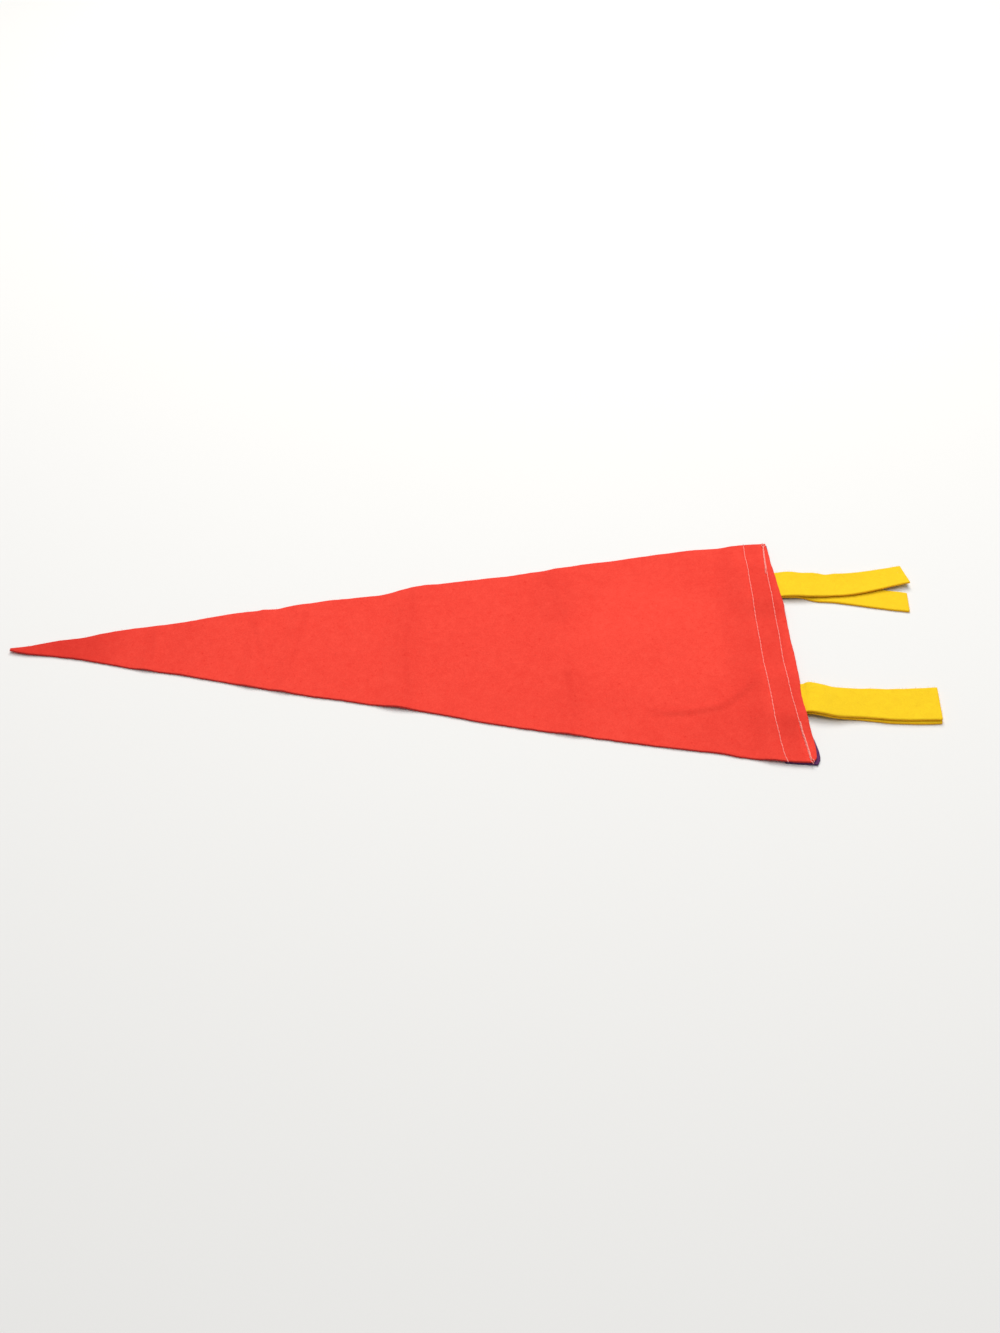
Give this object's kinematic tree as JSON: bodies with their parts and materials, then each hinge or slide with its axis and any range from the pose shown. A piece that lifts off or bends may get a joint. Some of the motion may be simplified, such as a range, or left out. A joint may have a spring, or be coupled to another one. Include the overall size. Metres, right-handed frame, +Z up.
{
  "type": "felt pennant",
  "caption": "Long triangular felt pennant lying flat with its plain side up, a stitched heading strip along the wide edge and folded ties for a pole",
  "frame": {"origin": "centre of the heading strip's underside, on the surface that the pennant lies on", "axes": "+X from the point towards the wide edge and the ties, +Y across the pennant, +Z up through the side that shows"},
  "size_m": [0.4727, 0.1582, 0.0057],
  "materials": {
    "red_felt": "matt pressed felt with a short fibre nap",
    "plum_felt": "matt pressed felt, dark purple",
    "yellow_felt": "matt pressed felt with a short fibre nap",
    "pink_thread": "twisted sewing thread, slightly shiny"
  },
  "bodies": {
    "root": {"field": "red_felt", "heading": "plum_felt", "tie_far": "yellow_felt", "tie_near": "yellow_felt"}
  },
  "joints": []
}
